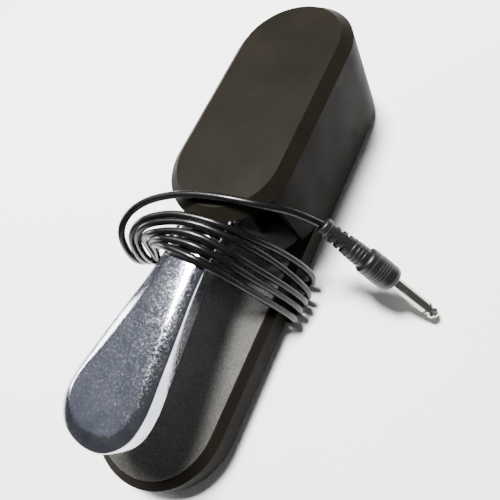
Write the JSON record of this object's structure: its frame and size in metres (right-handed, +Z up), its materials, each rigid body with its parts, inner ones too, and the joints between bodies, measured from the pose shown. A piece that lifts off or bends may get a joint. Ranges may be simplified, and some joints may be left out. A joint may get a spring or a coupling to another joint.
{
  "type": "sustain pedal",
  "caption": "Piano-style sustain pedal: black hooded base, grey deck, chrome teardrop lever that springs back, cord wound round the neck, quarter-inch plug.",
  "frame": {"origin": "on the floor under the middle of the base", "axes": "+Z up, the toe of the lever points to -Y, the cord leaves the rear at +Y"},
  "size_m": [0.1657, 0.3316, 0.0691],
  "materials": {
    "housing_black": "satin fine-grained moulded black",
    "deck_grey": "satin grey, fine sandy texture",
    "lever_chrome": "polished chrome with fine swirl scratches",
    "steel_plate": "zinc plated sheet",
    "iron": "cast, painted",
    "screw_steel": "zinc plated",
    "rubber_black": "matt",
    "nylon_white": "natural nylon",
    "black_plastic": "satin",
    "spring_steel": "bright wire",
    "board_green": "lacquered laminate",
    "switch_red": "moulded",
    "cord_black": "soft satin PVC jacket",
    "plug_black": "satin moulded PVC",
    "plug_nickel": "nickel plated, lightly worn",
    "wire_jacket": "insulated wire"
  },
  "bodies": {
    "casing": {"top_housing": "housing_black", "deck_plate": "deck_grey", "bottom_plate": "steel_plate", "rubber_feet": "rubber_black", "ballast_weight": "iron", "ballast_screws": "screw_steel", "housing_screws": "screw_steel", "pivot_bracket": "steel_plate", "pivot_shaft": "screw_steel", "retaining_rings": "spring_steel", "bracket_screws": "screw_steel", "spring_seat": "black_plastic", "return_spring": "spring_steel", "down_stop_post": "black_plastic", "down_stop_pad": "rubber_black", "up_stop_post": "black_plastic", "up_stop_pad": "rubber_black", "board_posts": "nylon_white", "circuit_board": "board_green", "board_screws": "screw_steel", "switch_body": "black_plastic", "polarity_body": "black_plastic", "inner_cord": "cord_black", "cord_clamp": "black_plastic", "lead_wires": "wire_jacket", "cord_gland": "plug_black", "cord_lead": "cord_black", "cord_winding": "cord_black", "cord_tail": "cord_black", "plug_relief": "plug_black", "plug_barrel": "plug_black", "plug_sleeve": "plug_nickel", "plug_insulator": "black_plastic", "plug_tip": "plug_nickel"},
    "lever": {"lever": "lever_chrome", "lever_bushes": "nylon_white", "contact_pad": "nylon_white", "spring_cup": "nylon_white"},
    "plunger": {"switch_plunger": "switch_red"},
    "polarity_knob": {"polarity_knob": "black_plastic"}
  },
  "joints": [
    {"name": "lever_hinge", "type": "hinge", "parent": "casing", "child": "lever", "pos_m": [0, 0.062, 0.043], "axis": [1, 0, 0], "range_deg": [0, 6.5], "stiffness_Nm_per_rad": 12, "springref_deg": -3.44, "deforming": ["return_spring"]},
    {"name": "plunger_slide", "type": "slide", "parent": "casing", "child": "plunger", "axis": [0, 0, 1], "range_m": [-0.0021, 0], "stiffness_N_per_m": 200},
    {"name": "polarity_slide", "type": "slide", "parent": "casing", "child": "polarity_knob", "axis": [1, 0, 0], "range_m": [0, 0.003]}
  ],
  "couplings": [
    {"joint": "plunger_slide", "follows": "lever_hinge", "m_per_rad": -0.018}
  ]
}
